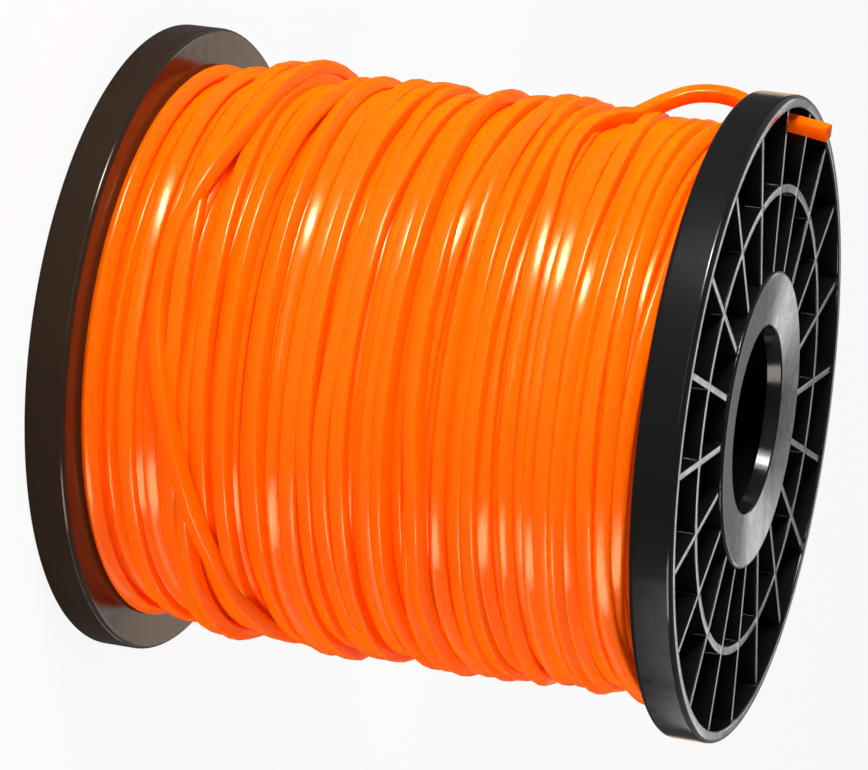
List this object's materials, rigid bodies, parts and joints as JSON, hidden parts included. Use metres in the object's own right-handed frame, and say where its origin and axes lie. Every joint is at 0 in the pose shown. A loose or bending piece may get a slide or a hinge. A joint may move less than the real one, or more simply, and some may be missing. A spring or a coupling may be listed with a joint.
{
  "type": "spool of trimmer line",
  "caption": "Spool of nylon trimmer line: two moulded flanged halves with ribbed outer faces and a through bore, wound full of line, with the free end led out through a flange hole.",
  "frame": {"origin": "middle of the lower flange's outer face, which the spool stands on", "axes": "+Z is the spool's axis, up through the bore towards the flange that the line's end comes out of; +X passes through a rib of each flange"},
  "size_m": [0.11, 0.11, 0.1162],
  "materials": {
    "lower_plastic": "satin moulded black plastic, slightly warm",
    "upper_plastic": "satin moulded black plastic",
    "line_nylon": "glossy translucent orange nylon"
  },
  "bodies": {
    "root": {"lower_half": "lower_plastic", "upper_half": "upper_plastic", "line_winding": "line_nylon", "line_tail": "line_nylon"}
  },
  "joints": []
}
